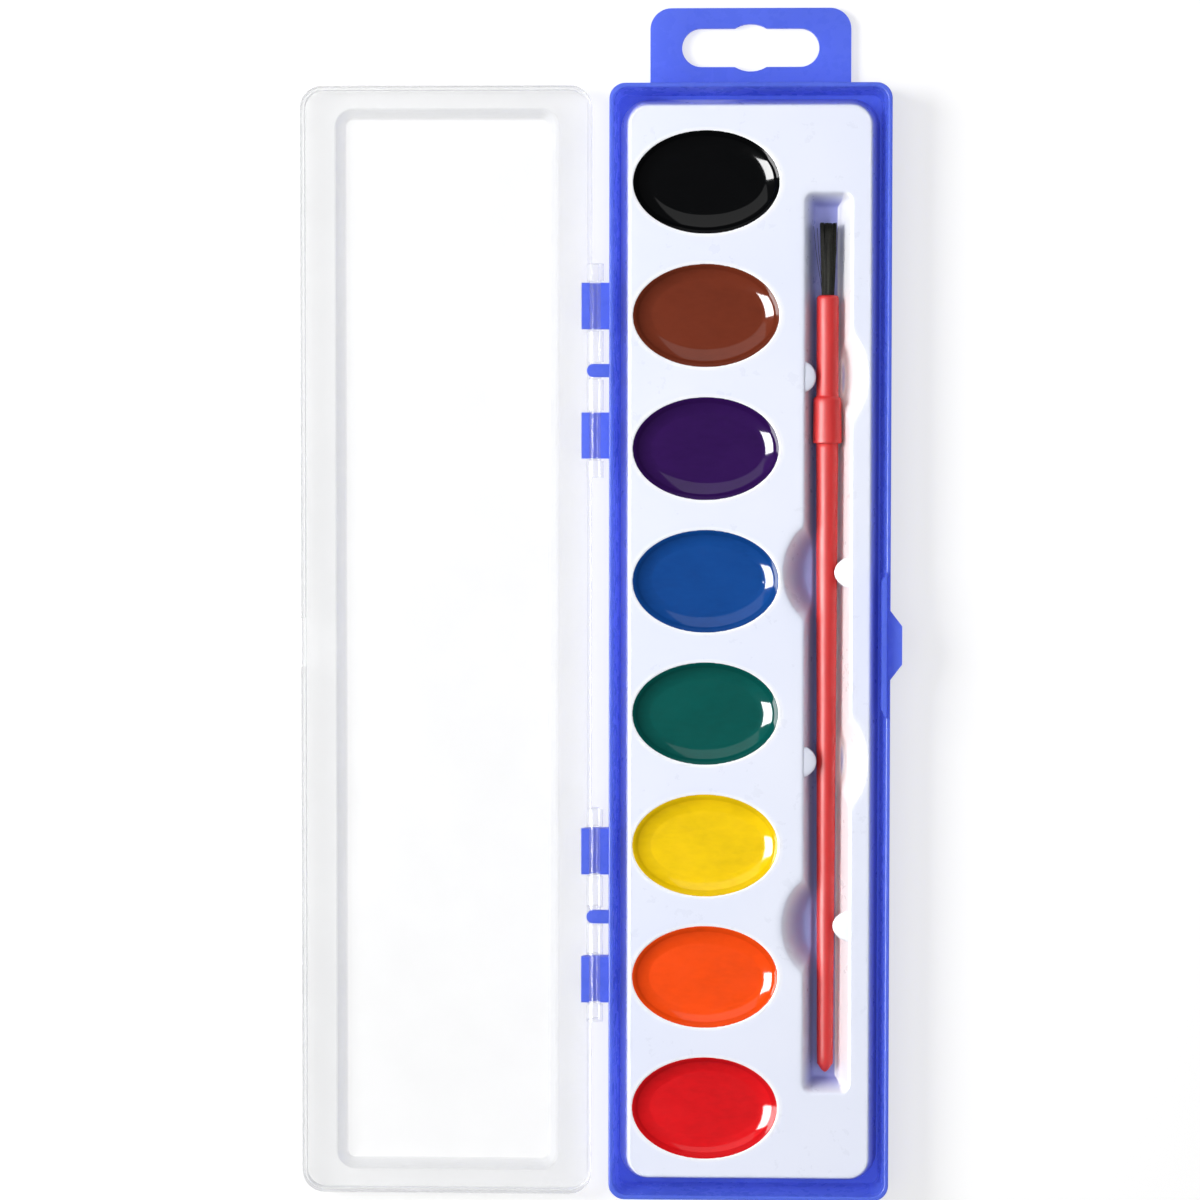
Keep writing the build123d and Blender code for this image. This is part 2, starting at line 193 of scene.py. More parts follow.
def mesh_piece(name, points, faces, material, body, replaced=()):
    """A smooth mesh from points in millimetres, riding on its body."""
    data = bpy.data.meshes.new(name)
    data.from_pydata((np.asarray(points) * mm).tolist(), [], faces)
    data.polygons.foreach_set("use_smooth", [True] * len(data.polygons))
    data.materials.append(material)
    data.update()
    piece = link(bpy.data.objects.new(name, data))
    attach(piece, body)
    if replaced:
        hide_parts(*replaced)
    return piece


def smooth_step(share):
    """A soft rise from 0 to 1."""
    share = np.clip(share, 0, 1)
    return share * share * (3 - 2 * share)


def inside_box(x, y, half_x, half_y, radius):
    """How far inside a rounded rectangle a place lies."""
    over_x = np.abs(x) - (half_x - radius)
    over_y = np.abs(y) - (half_y - radius)
    corner = np.hypot(np.maximum(over_x, 0), np.maximum(over_y, 0))
    return radius - corner - np.minimum(np.maximum(over_x, over_y), 0)


def inside_ellipse(x, y, half_x, half_y):
    """About how far inside an ellipse a place lies."""
    reach = np.hypot(x / half_x, y / half_y)
    slope = np.hypot(x / half_x**2, y / half_y**2)
    return np.where(slope > 1e-6, reach * (1 - reach) / np.maximum(slope, 1e-6), min(half_x, half_y))


def soft_max(first, second, width):
    """The larger of two depths, with a soft change between them."""
    gap = np.maximum(width - np.abs(first - second), 0) / width
    return np.maximum(first, second) + gap**2 * width / 4


def pocket(inside, depth, lip, run):
    """The depth of a formed pocket: a dipped shoulder, then a wall, then the floor."""
    wall = depth * smooth_step((inside + lip) / (lip + run))
    shoulder = shoulder_dip * smooth_step((inside + shoulder_width) / shoulder_width)
    return np.maximum(wall, 0) + shoulder * (1 - wall / depth)


def tray_pockets(x, y, cover):
    """How deep the tray's sheet dips at each place."""
    depth = np.zeros_like(x)
    for colour in pan_colours:
        low, high = box_mm("paint_" + colour)
        centre = (low + high) / 2
        inside = inside_ellipse(x - centre[0], y - centre[1], well_half[0], well_half[1])
        depth = np.maximum(depth, pocket(inside + cover, well_depth, well_lip, well_run))
    inside = inside_box(x - brush_x, y, groove_half[0], groove_half[1], groove_corner)
    groove = pocket(inside + cover, groove_depth, groove_lip, groove_run)
    for place, nub_side in zip(nub_places, nub_sides):
        side = -nub_side
        reach = scoop_reaches[side]
        across = np.maximum((x - brush_x) * side, 0)
        inside = inside_ellipse(across, y - place, reach, scoop_half)
        scoop = pocket(inside + cover, scoop_depth, scoop_lip, scoop_run)
        scoop = np.where((x - brush_x) * side > -1, scoop, 0)
        groove = soft_max(groove, scoop, pocket_blend)
    return np.maximum(depth, groove - pocket_blend / 4 * (groove < pocket_blend))


def sheet_points(step, cover):
    """The points and faces of one side of the tray's sheet, trimmed to its foot."""
    low, high = box_mm("paint_tray")
    half_x, half_y = high[0], high[1]
    columns = int(round(2 * half_x / step)) + 3
    rows = int(round(2 * half_y / step)) + 3
    x, y = np.meshgrid(
        np.linspace(-half_x - step, half_x + step, columns),
        np.linspace(-half_y - step, half_y + step, rows),
    )
    inside = inside_box(x, y, half_x, half_y, tray_corner)
    out = inside < 0
    core_x = np.clip(x, tray_corner - half_x, half_x - tray_corner)
    core_y = np.clip(y, tray_corner - half_y, half_y - tray_corner)
    reach = np.maximum(np.hypot(x - core_x, y - core_y), 1e-9)
    x = np.where(out, core_x + (x - core_x) / reach * tray_corner, x)
    y = np.where(out, core_y + (y - core_y) / reach * tray_corner, y)
    inside = np.where(out, 0, inside)
    height = high[2] - low[2]
    share = np.clip((inside - cover) / tray_slope, 0, None)
    rim = height * share
    rim = height - soft_max(height - rim, np.zeros_like(rim), tray_edge_soft)
    z = low[2] + np.maximum(rim, 0) - tray_pockets(x, y, cover) * smooth_step(share)
    z = np.where(out, low[2], z - cover)
    points = np.stack([x, y, np.maximum(z, low[2])], axis=-1).reshape(-1, 3)
    index = np.arange(rows * columns).reshape(rows, columns)
    corners = [index[:-1, :-1], index[:-1, 1:], index[1:, 1:], index[1:, :-1]]
    quads = np.stack(corners, axis=-1).reshape(-1, 4)
    flat = out.reshape(-1)
    quads = quads[~flat[quads].all(axis=1)]
    if cover:
        quads = quads[:, ::-1]
    used = np.unique(quads)
    renumber = np.full(len(points), -1)
    renumber[used] = np.arange(len(used))
    return points[used], renumber[quads]


def build_tray(material):
    """The formed sheet, with its top and its underside."""
    top, top_faces = sheet_points(tray_grid, 0)
    under, under_faces = sheet_points(underside_grid, tray_sheet)
    points = np.concatenate([top, under])
    faces = top_faces.tolist() + (under_faces + len(top)).tolist()
    return mesh_piece("tray_sheet", points, faces, material, "tray", ["paint_tray"])


def build_nub(index, material):
    """A soft lug on the groove's edge that reaches over the brush."""
    side = nub_sides[index]
    top = box_mm("paint_tray")[1][2] - nub_drop
    reach = nub_root - nub_tips[index]
    points = []
    for ring in range(nub_rings + 1):
        tilt = math.pi * ring / nub_rings
        level = math.copysign(abs(math.cos(tilt)) ** nub_crown_power, math.cos(tilt))
        spread = abs(math.sin(tilt)) ** nub_outline_power
        for segment in range(nub_segments):
            turn = 2 * math.pi * segment / nub_segments
            share = 1 if math.cos(turn) > 0 else nub_back
            across = nub_root - reach * spread * math.cos(turn) * share
            along = nub_half_length * spread * math.sin(turn)
            lowered = nub_slope * max(nub_root - across, 0)
            points.append(
                (
                    brush_x + side * across,
                    nub_places[index] + along,
                    top - lowered - nub_thickness / 2 + level * nub_thickness / 2,
                )
            )
    faces = ring_faces(nub_rings + 1, nub_segments)
    if side > 0:
        faces = [face[::-1] for face in faces]
    name = "tray_nub_" + str(index + 1)
    return mesh_piece(name, points, faces, material, "tray")


def ring_faces(rings, segments, start=0):
    """Quads between rings of points, each ring closed on itself."""
    faces = []
    for ring in range(rings - 1):
        for segment in range(segments):
            after = (segment + 1) % segments
            here = start + ring * segments
            faces.append((here + segment, here + after, here + segments + after, here + segments + segment))
    return faces


def cake_profile():
    """Steps inward from a cake's edge and the surface's drop at each: a wet rim that climbs the wall."""
    # Marks are millimetres inward from the edge, and angles the surface's slope at each, in degrees
    marks = [0.0, 0.4, 0.8, 1.1, 1.6, 2.1, 2.6, 3.1, cake_band]
    angles = [17.0, 30.0, 42.0, 36.0, 29.0, 23.0, 17.5, 13.0, 1.5]
    steps = np.linspace(0, cake_band, cake_rings_band)
    slopes = np.tan(np.radians(np.interp(steps, marks, angles)))
    drops = np.concatenate([[0], np.cumsum((slopes[1:] + slopes[:-1]) / 2 * np.diff(steps))])
    return steps, drops


def build_cake(colour, material, edge_material, seed):
    """A paint cake with a concave, glossy top and a duller edge."""
    low, high = box_mm("paint_" + colour)
    centre = (low + high) / 2
    chance = random.Random(seed)
    # The sixth phase only keeps the draws in their order
    phases = [chance.uniform(0, 2 * math.pi) for _ in range(6)]
    steps, drops = cake_profile()
    depth_scale = chance.uniform(*cake_depth_range)
    turn = np.linspace(0, 2 * math.pi, cake_segments, endpoint=False)
    oval_wobble, three_wobble, side_wobble = cake_wobbles
    wobble = 1 + oval_wobble * np.sin(2 * turn + phases[0]) + three_wobble * np.sin(3 * turn + phases[1])
    wobble += side_wobble * np.sin(turn + phases[4])
    rings = []
    for step, drop in zip(steps, drops):
        half_x = cake_half[0] - step * wobble
        half_y = cake_half[1] - step * wobble
        rings.append(
            np.stack(
                [
                    centre[0] + half_x * np.cos(turn),
                    centre[1] + half_y * np.sin(turn),
                    np.full_like(turn, cake_edge_z - drop * depth_scale),
                ],
                axis=-1,
            )
        )
    inner = rings[-1]
    middle = np.array([centre[0], centre[1], inner[0][2]])
    for share in np.linspace(1, 0, cake_rings_flat + 1)[1:-1]:
        ring = middle + (inner - middle) * share
        ring[:, 2] = inner[0][2] - cake_sag * (1 - share**2)
        rings.append(ring)
    base_z = low[2] + cake_base_lift
    base = np.stack(
        [
            centre[0] + (well_half[0] - cake_base_inset) * np.cos(turn),
            centre[1] + (well_half[1] - cake_base_inset) * np.sin(turn),
            np.full_like(turn, base_z),
        ],
        axis=-1,
    )
    rings.insert(0, base)
    points = np.concatenate(rings)
    ripple = cake_ripple * np.sin(points[:, 0] * 0.9 + phases[2]) * np.sin(points[:, 1] * 1.1 + phases[3])
    points[cake_segments:, 2] += ripple[cake_segments:]
    middle_index = len(points)
    middle[2] = points[-cake_segments:, 2].mean()
    points = np.concatenate([points, [middle, [centre[0], centre[1], base_z]]])
    faces = ring_faces(len(rings), cake_segments)
    last = (len(rings) - 1) * cake_segments
    for segment in range(cake_segments):
        after = (segment + 1) % cake_segments
        faces.append((last + segment, last + after, middle_index))
        faces.append((after, segment, middle_index + 1))
    node = "paint_" + colour
    cake = mesh_piece("paint_cake_" + colour, points, faces, material, "tray", [node])
    edge_rings = 1 + int((steps < cake_edge_zone).sum())
    marks = np.zeros(len(faces), dtype=int)
    marks[: edge_rings * cake_segments] = 1
    cake.data.materials.append(edge_material)
    cake.data.polygons.foreach_set("material_index", marks)
    return cake


def brush_point(along, across, up):
    """A place on the brush, from its thin end along its tilted line."""
    rise, run = math.sin(brush_tilt), math.cos(brush_tilt)
    return (
        brush_end[0] + across,
        brush_end[1] + along * run - up * rise,
        brush_end[2] + along * rise + up * run,
    )


def build_lathe(name, profile, material, replaced, seed):
    """A turned part of the brush, with a fine mould seam and slight waviness."""
    chance = random.Random(seed)
    phases = [chance.uniform(0, 2 * math.pi) for _ in range(3)]
    points = []
    for along, radius in profile:
        for segment in range(lathe_segments):
            turn = 2 * math.pi * segment / lathe_segments
            seam = seam_height * math.exp(-((math.sin(turn) / seam_width) ** 2))
            long_wave = math.sin(along * wave_rates[0] + phases[0])
            wave = wave_heights[0] * long_wave * math.cos(turn * 2 + phases[1])
            wave += wave_heights[1] * math.sin(along * wave_rates[1] + phases[2])
            grow = min(1, radius / full_seam_radius)
            real = radius + (seam + wave) * grow
            points.append(brush_point(along, real * math.cos(turn), real * math.sin(turn)))
    faces = [face[::-1] for face in ring_faces(len(profile), lathe_segments)]
    faces.append(tuple(range(lathe_segments)))
    last = (len(profile) - 1) * lathe_segments
    faces.append(tuple(last + segment for segment in reversed(range(lathe_segments))))
    return mesh_piece(name, points, faces, material, "brush", replaced)


def build_brush(red, hair):
    """The handle, the ferrule with its collar and the hair."""
    collar_start = handle_length
    tube_start = collar_start + collar_length
    mouth = tube_start + tube_length
    # The handle: its pointed end, then its even taper into the collar
    profile = [(0, handle_tip_flat), (handle_tip_round, handle_tip_radius)]
    for share in (0.25, 0.45, 0.65, 0.85, 1.0):
        widened = (handle_end_radius - handle_tip_radius) * share**handle_tip_power
        profile.append((share * handle_tip, handle_tip_radius + widened))
    for step in range(1, handle_rings + 1):
        share = step / handle_rings
        along = handle_tip + (handle_length + handle_overlap - handle_tip) * share
        profile.append((along, handle_end_radius + (handle_radius - handle_end_radius) * share))
    build_lathe("brush_handle_rod", profile, red, ["brush_handle"], 3)

    # The collar: its rounded end, its slight taper and its rounded step down to the tube
    profile = [
        (collar_start, collar_bore),
        (collar_start, collar_radius - 0.3),
        (collar_start + 0.04, collar_radius - 0.16),
        (collar_start + 0.13, collar_radius - 0.06),
    ]
    for step in range(11):
        along = collar_start + 0.3 + (collar_length - 0.75) * step / 10
        profile.append((along, collar_radius - collar_taper * step))
    profile += [
        (tube_start - 0.28, collar_radius - 0.2),
        (tube_start - 0.1, collar_radius - 0.36),
        (tube_start, tube_radius + 0.12),
        (tube_start + 0.16, tube_radius + 0.02),
    ]
    # The tube: straight, with a rounded mouth that turns in to the hair
    profile += [(tube_start + 0.3 + (tube_length - 1.0) * step / 24, tube_radius) for step in range(25)]
    profile += [
        (mouth - 0.5, tube_radius - 0.03),
        (mouth - 0.3, tube_radius - 0.12),
        (mouth - 0.12, tube_radius - 0.28),
        (mouth, tube_radius - 0.55),
        (mouth - 0.04, bristle_root + 0.12),
        (mouth - 0.5, bristle_root + 0.06),
        (mouth - 1.6, bristle_root + 0.05),
    ]
    build_lathe("brush_ferrule_tube", profile, red, ["brush_ferrule"], 5)
    build_hair(mouth, hair)


def hair_strand(path, radius, points, faces):
    """Adds one hair that follows a path of brush places."""
    start = len(points)
    for index, (along, across, up) in enumerate(path):
        share = index / (len(path) - 1)
        real = radius * (1 - hair_thinning * share)
        for side in range(hair_sides):
            turn = 2 * math.pi * side / hair_sides
            points.append(
                brush_point(along, across + real * math.cos(turn), up + real * math.sin(turn))
            )
    faces += [face[::-1] for face in ring_faces(len(path), hair_sides, start)]
    last = start + (len(path) - 1) * hair_sides
    faces.append(tuple(last + side for side in reversed(range(hair_sides))))


def build_hair(mouth, material):
    """Stiff dark hair that flares a little and gathers in clumps, cut blunt."""
    chance = random.Random(11)
    golden = math.pi * (3 - math.sqrt(5))
    clumps = []
    for _ in range(hair_clumps):
        turn = chance.uniform(0, 2 * math.pi)
        reach = bristle_tip * math.sqrt(chance.random())
        clumps.append((reach * math.cos(turn), reach * math.sin(turn), chance.uniform(*clump_lengths)))
    points, faces = [], []
    for index in range(hair_count):
        share = math.sqrt((index + 0.5) / hair_count)
        turn = index * golden
        root = (bristle_root * share * math.cos(turn), bristle_root * share * math.sin(turn))
        tip = (bristle_tip * share * math.cos(turn), bristle_tip * share * math.sin(turn))
        near = min(clumps, key=lambda c: (c[0] - tip[0]) ** 2 + (c[1] - tip[1]) ** 2)
        pull = chance.uniform(*clump_pull)
        tip = (
            tip[0] + (near[0] - tip[0]) * pull + chance.gauss(0, tip_scatter),
            tip[1] + (near[1] - tip[1]) * pull + chance.gauss(0, tip_scatter),
        )
        reach = math.hypot(*tip)
        if reach > bristle_tip:
            tip = (tip[0] * bristle_tip / reach, tip[1] * bristle_tip / reach)
        length = bristle_length + near[2] * clump_length_share - abs(chance.gauss(0, cut_scatter))
        bend = (chance.gauss(0, bend_scatter), chance.gauss(0, bend_scatter))
        path = []
        for station in range(hair_stations):
            way = station / (hair_stations - 1)
            swell = math.sin(math.pi * way)
            path.append(
                (
                    mouth - hair_root_depth + (length + hair_root_depth) * way,
                    root[0] + (tip[0] - root[0]) * way + bend[0] * swell,
                    root[1] + (tip[1] - root[1]) * way + bend[1] * swell,
                )
            )
        hair_strand(path, hair_radius, points, faces)
    # Three stray hairs, each as places along, across and up from the tube's mouth
    stray_paths = [
        [(-0.5, -0.95, 0.3), (2.0, -1.25, 0.4), (5.5, -1.85, 0.45), (9.0, -2.35, 0.5), (13.0, -2.72, 0.55)],
        [(-0.5, -0.8, 0.6), (3.0, -1.2, 0.75), (8.0, -1.75, 0.8), (12.6, -2.05, 0.9)],
        [(-0.5, 0.9, 0.4), (4.0, 1.2, 0.6), (9.0, 1.62, 0.75), (12.9, 1.9, 0.8)],
    ]
    for stray in stray_paths:
        path = [(mouth + along, across, up) for along, across, up in stray]
        hair_strand(path, stray_radius, points, faces)
    mesh_piece("brush_hair", points, faces, material, "brush", ["brush_bristles"])


class Nodes:
    """A short way to write a material's nodes."""

    def __init__(self, name):
        self.material = bpy.data.materials.new(name)
        self.material.use_nodes = True
        self.tree = self.material.node_tree
        self.shader = self.tree.nodes["Principled BSDF"]
        self.output = self.tree.nodes["Material Output"]
        source = self.add("ShaderNodeTexCoord")
        self.place = source.outputs["Object"]
        self.facing = source.outputs["Normal"]

    def add(self, kind, **settings):
        """A new node with its settings."""
        node = self.tree.nodes.new(kind)
        for key, value in settings.items():
            setattr(node, key, value)
        return node

    def feed(self, socket, value):
        """Sets a socket's value, or links an output to it."""
        if isinstance(value, bpy.types.NodeSocket):
            self.tree.links.new(value, socket)
        else:
            socket.default_value = value

    def noise(self, scale, detail=3.0, roughness=0.55, stretch=(1, 1, 1)):
        """Noise in the object's own space; the scale is in features a millimetre."""
        mapping = self.add("ShaderNodeMapping")
        self.feed(mapping.inputs["Vector"], self.place)
        mapping.inputs["Scale"].default_value = stretch
        node = self.add("ShaderNodeTexNoise")
        self.feed(node.inputs["Vector"], mapping.outputs["Vector"])
        node.inputs["Scale"].default_value = scale / mm
        node.inputs["Detail"].default_value = detail
        node.inputs["Roughness"].default_value = roughness
        return node.outputs["Fac"]

    def ramp(self, value, low, high, out_low=0.0, out_high=1.0):
        """A value stretched from one range to another."""
        node = self.add("ShaderNodeMapRange")
        self.feed(node.inputs["Value"], value)
        node.inputs["From Min"].default_value = low
        node.inputs["From Max"].default_value = high
        node.inputs["To Min"].default_value = out_low
        node.inputs["To Max"].default_value = out_high
        return node.outputs["Result"]

    def mix(self, share, first, second):
        """A mix of two colours."""
        node = self.add("ShaderNodeMix", data_type="RGBA")
        self.feed(node.inputs[0], share)
        self.feed(node.inputs[6], first)
        self.feed(node.inputs[7], second)
        return node.outputs[2]

    def maths(self, operation, first, second=0.0):
        """One step of arithmetic."""
        node = self.add("ShaderNodeMath", operation=operation)
        self.feed(node.inputs[0], first)
        self.feed(node.inputs[1], second)
        return node.outputs[0]

    def show_with(self, other, share):
        """Shows another shader mixed into the main one."""
        node = self.add("ShaderNodeMixShader")
        node.inputs[0].default_value = share
        self.feed(node.inputs[1], self.shader.outputs[0])
        self.feed(node.inputs[2], other.outputs[0])
        self.feed(self.output.inputs["Surface"], node.outputs[0])

    def bump(self, height, distance, strength=1.0, before=None):
        """A bump whose distance is in millimetres."""
        node = self.add("ShaderNodeBump")
        node.inputs["Strength"].default_value = strength
        node.inputs["Distance"].default_value = distance * mm
        self.feed(node.inputs["Height"], height)
        if before is not None:
            self.feed(node.inputs["Normal"], before)
        return node.outputs["Normal"]


def shade(colour, factor):
    """A colour made lighter or darker, with full alpha."""
    return tuple(min(1.0, part * factor) for part in colour[:3]) + (1.0,)


def blue_plastic():
    """Glossy blue polypropylene that lets light through: a faint grain, flow marks and fine scuffs."""
    n = Nodes("blue_plastic")
    base = (0.14, 0.235, 0.93)
    glow_low = (0.34, 0.42, 0.98, 1)
    glow_high = (0.38, 0.46, 1.0, 1)
    glow_share = 0.55
    flow = n.ramp(n.noise(0.05, 2.0, 0.5, (1, 0.4, 1)), 0.35, 0.65)
    tint = n.mix(flow, shade(base, 0.94), shade(base, 1.05))
    n.feed(n.shader.inputs["Base Color"], tint)
    scuff = n.ramp(n.noise(1.6, 5.0, 0.7, (1, 0.08, 1)), 0.62, 0.75)
    rough = n.ramp(n.noise(0.35, 4.0, 0.6), 0.3, 0.7, 0.22, 0.34)
    n.feed(n.shader.inputs["Roughness"], n.maths("ADD", rough, n.maths("MULTIPLY", scuff, 0.16)))
    grain = n.bump(n.noise(3.2, 3.0, 0.6), 0.008, 0.4)
    n.feed(n.shader.inputs["Normal"], n.bump(n.noise(0.12, 2.0, 0.5), 0.03, 0.3, grain))
    n.shader.inputs["IOR"].default_value = 1.5
    through = n.add("ShaderNodeBsdfTranslucent")
    n.feed(through.inputs["Color"], n.mix(flow, glow_low, glow_high))
    n.show_with(through, glow_share)
    return n.material


def white_tray():
    """Semi-gloss white sheet with painted light: painted highlights on its lips and on the walls that face
    the key light, and a painted violet shade where it dips to the blue case.
    """
    n = Nodes("white_tray")
    top_low = (0.765, 0.805, 0.945, 1)
    top_high = (0.81, 0.84, 0.955, 1)
    painted_shade_colour = (0.31, 0.33, 0.70, 1)
    painted_lip_highlight = (0.96, 0.965, 0.985, 1)
    tray_top = box_mm("paint_tray")[1][2]
    split = n.add("ShaderNodeSeparateXYZ")
    n.feed(split.inputs[0], n.place)
    # Painted shade: a violet tint that deepens with the drop below the sheet's top
    depth = n.ramp(split.outputs["Z"], (tray_top - 0.9) * mm, (tray_top - 5.8) * mm)
    cloud = n.ramp(n.noise(0.03, 2.0, 0.5), 0.3, 0.7)
    sheet = n.mix(depth, n.mix(cloud, top_low, top_high), painted_shade_colour)
    # Painted highlight on the wells' lips: one ellipse repeated at the pans' pitch
    first_low, first_high = box_mm("paint_black")
    last_low = box_mm("paint_red")[0]
    pan_x = (first_low[0] + first_high[0]) / 2
    pan_y = (first_low[1] + first_high[1]) / 2
    pitch = (first_low[1] - last_low[1]) / (len(pan_colours) - 1)
    across = n.maths("SUBTRACT", split.outputs["X"], pan_x * mm)
    across = n.maths("DIVIDE", across, well_half[0] * mm)
    along = n.maths("SUBTRACT", split.outputs["Y"], pan_y * mm)
    along = n.maths("DIVIDE", n.maths("PINGPONG", along, pitch / 2 * mm), well_half[1] * mm)
    squares = n.maths("ADD", n.maths("MULTIPLY", across, across), n.maths("MULTIPLY", along, along))
    lip = n.ramp(n.maths("SQRT", squares), 1.10, 1.015)
    # Painted highlight on the walls that face the lid and the key light
    normal = n.add("ShaderNodeSeparateXYZ")
    n.feed(normal.inputs[0], n.facing)
    painted_wall_highlight = n.ramp(normal.outputs["X"], -0.10, -0.50)
    # The painted highlight: the stronger of the lip and wall highlights
    pale = n.maths("MAXIMUM", n.maths("MULTIPLY", lip, 0.9), painted_wall_highlight)
    n.feed(n.shader.inputs["Base Color"], n.mix(pale, sheet, painted_lip_highlight))
    n.feed(n.shader.inputs["Roughness"], n.ramp(n.noise(0.3, 4.0, 0.6), 0.3, 0.7, 0.26, 0.36))
    fine = n.bump(n.noise(2.4, 3.0, 0.6), 0.006, 0.3)
    n.feed(n.shader.inputs["Normal"], n.bump(n.noise(0.07, 2.0, 0.4), 0.05, 0.35, fine))
    n.shader.inputs["IOR"].default_value = 1.49
    return n.material


def paint_skin(colour, edge=False):
    """Dried watercolour with a wet-looking skin and a few pits. Its edge is darker and duller."""
    n = Nodes(("paint_edge_" if edge else "paint_") + colour)
    base = shade(pan_colours[colour], 0.85 if edge else 1.0)
    if edge:
        n.shader.inputs["Specular IOR Level"].default_value = edge_gloss
    elif colour == "black":
        n.shader.inputs["Specular IOR Level"].default_value = black_gloss
    pool = n.ramp(n.noise(0.10, 3.0, 0.55, (1, 1.4, 1)), 0.3, 0.7)
    streak = n.ramp(n.noise(0.45, 5.0, 0.6, (1, 2.5, 1)), 0.35, 0.65)
    pooled = n.mix(pool, shade(base, 0.90), shade(base, 1.06))
    streaked = n.mix(n.maths("MULTIPLY", streak, 0.35), pooled, shade(base, 1.18))
    n.feed(n.shader.inputs["Base Color"], streaked)
    n.feed(n.shader.inputs["Roughness"], n.ramp(n.noise(0.5, 4.0, 0.6), 0.3, 0.75, 0.05, 0.13))
    pits = n.add("ShaderNodeTexVoronoi")
    n.feed(pits.inputs["Vector"], n.place)
    pits.inputs["Scale"].default_value = 0.28 / mm
    dots = n.ramp(pits.outputs["Distance"], 0.0, 0.07, 0.0, 1.0)
    small = n.bump(dots, 0.05, 0.5)
    n.feed(n.shader.inputs["Normal"], n.bump(n.noise(0.16, 2.0, 0.4), 0.05, 0.5, small))
    n.shader.inputs["IOR"].default_value = 1.5
    return n.material


def red_plastic():
    """Glossy red plastic with streaks along the brush."""
    n = Nodes("red_plastic")
    base = (0.65, 0.030, 0.030)
    streak = n.ramp(n.noise(0.9, 4.0, 0.6, (1, 0.06, 1)), 0.3, 0.7)
    n.feed(n.shader.inputs["Base Color"], n.mix(streak, shade(base, 0.94), shade(base, 1.06)))
    n.feed(n.shader.inputs["Roughness"], n.ramp(n.noise(0.8, 4.0, 0.6, (1, 0.2, 1)), 0.3, 0.7, 0.42, 0.52))
    fine = n.bump(n.noise(2.6, 3.0, 0.6, (1, 0.3, 1)), 0.008, 0.4)
    n.feed(n.shader.inputs["Normal"], n.bump(n.noise(0.25, 2.0, 0.5), 0.02, 0.4, fine))
    n.shader.inputs["IOR"].default_value = 1.5
    n.shader.inputs["Subsurface Weight"].default_value = 0.25
    n.shader.inputs["Subsurface Radius"].default_value = (1.0, 0.25, 0.2)
    n.shader.inputs["Subsurface Scale"].default_value = 0.9 * mm
    return n.material


def dark_hair():
    """Greenish-black hair with a soft sheen and paler streaks."""
    n = Nodes("dark_hair")
    dark = (0.005, 0.005, 0.004, 1)
    pale = (0.034, 0.034, 0.024, 1)
    streak = n.ramp(n.noise(1.8, 4.0, 0.65, (1, 0.05, 1)), 0.40, 0.75)
    n.feed(n.shader.inputs["Base Color"], n.mix(streak, dark, pale))
    n.feed(n.shader.inputs["Roughness"], n.ramp(n.noise(2.0, 3.0), 0.3, 0.7, 0.50, 0.70))
    n.feed(n.shader.inputs["Normal"], n.bump(n.noise(8.0, 2.0), 0.01, 0.5))
    n.shader.inputs["Specular IOR Level"].default_value = hair_gloss
    return n.material


def clear_lid():
    """Clear moulded plastic, lightly scratched: whiter edge on, at its border and on its slopes."""
    n = Nodes("clear_lid")
    grey_low = (0.68, 0.69, 0.71, 1)
    grey_high = (0.73, 0.74, 0.76, 1)
    facing = n.add("ShaderNodeLayerWeight")
    facing.inputs["Blend"].default_value = 0.5
    split = n.add("ShaderNodeSeparateXYZ")
    n.feed(split.inputs[0], n.place)
    border = n.ramp(split.outputs["Z"], 0.9 * mm, 1.9 * mm, 0.0, 0.10)
    haze = n.ramp(n.noise(0.04, 3.0, 0.6), 0.3, 0.7, 0.085, 0.105)
    scratch = n.ramp(n.noise(1.1, 6.0, 0.75, (1, 0.12, 1)), 0.70, 0.80, 0.0, 0.05)
    edge = n.ramp(facing.outputs["Facing"], 0.40, 0.95, 0.0, 0.50)
    normal = n.add("ShaderNodeSeparateXYZ")
    n.feed(normal.inputs[0], n.facing)
    slope = n.ramp(n.maths("ABSOLUTE", normal.outputs["Z"]), 0.97, 0.70, 0.0, 0.13)
    alpha = n.maths("ADD", n.maths("ADD", haze, scratch), n.maths("ADD", edge, border))
    alpha = n.maths("ADD", alpha, slope)
    # The hinge pins lie above the rest of the open lid and are clearer
    clear_pins = n.ramp(split.outputs["Z"], 5.2 * mm, 6.2 * mm, 1.0, 0.45)
    n.feed(n.shader.inputs["Alpha"], n.maths("MULTIPLY", alpha, clear_pins))
    cloud = n.ramp(n.noise(0.05, 2.0), 0.3, 0.7)
    n.feed(n.shader.inputs["Base Color"], n.mix(cloud, grey_low, grey_high))
    n.feed(n.shader.inputs["Roughness"], n.ramp(n.noise(0.3, 4.0, 0.6), 0.3, 0.7, 0.06, 0.20))
    n.feed(n.shader.inputs["Normal"], n.bump(n.noise(0.06, 2.0, 0.4), 0.10, 0.4))
    n.shader.inputs["IOR"].default_value = 2.2
    return n.material


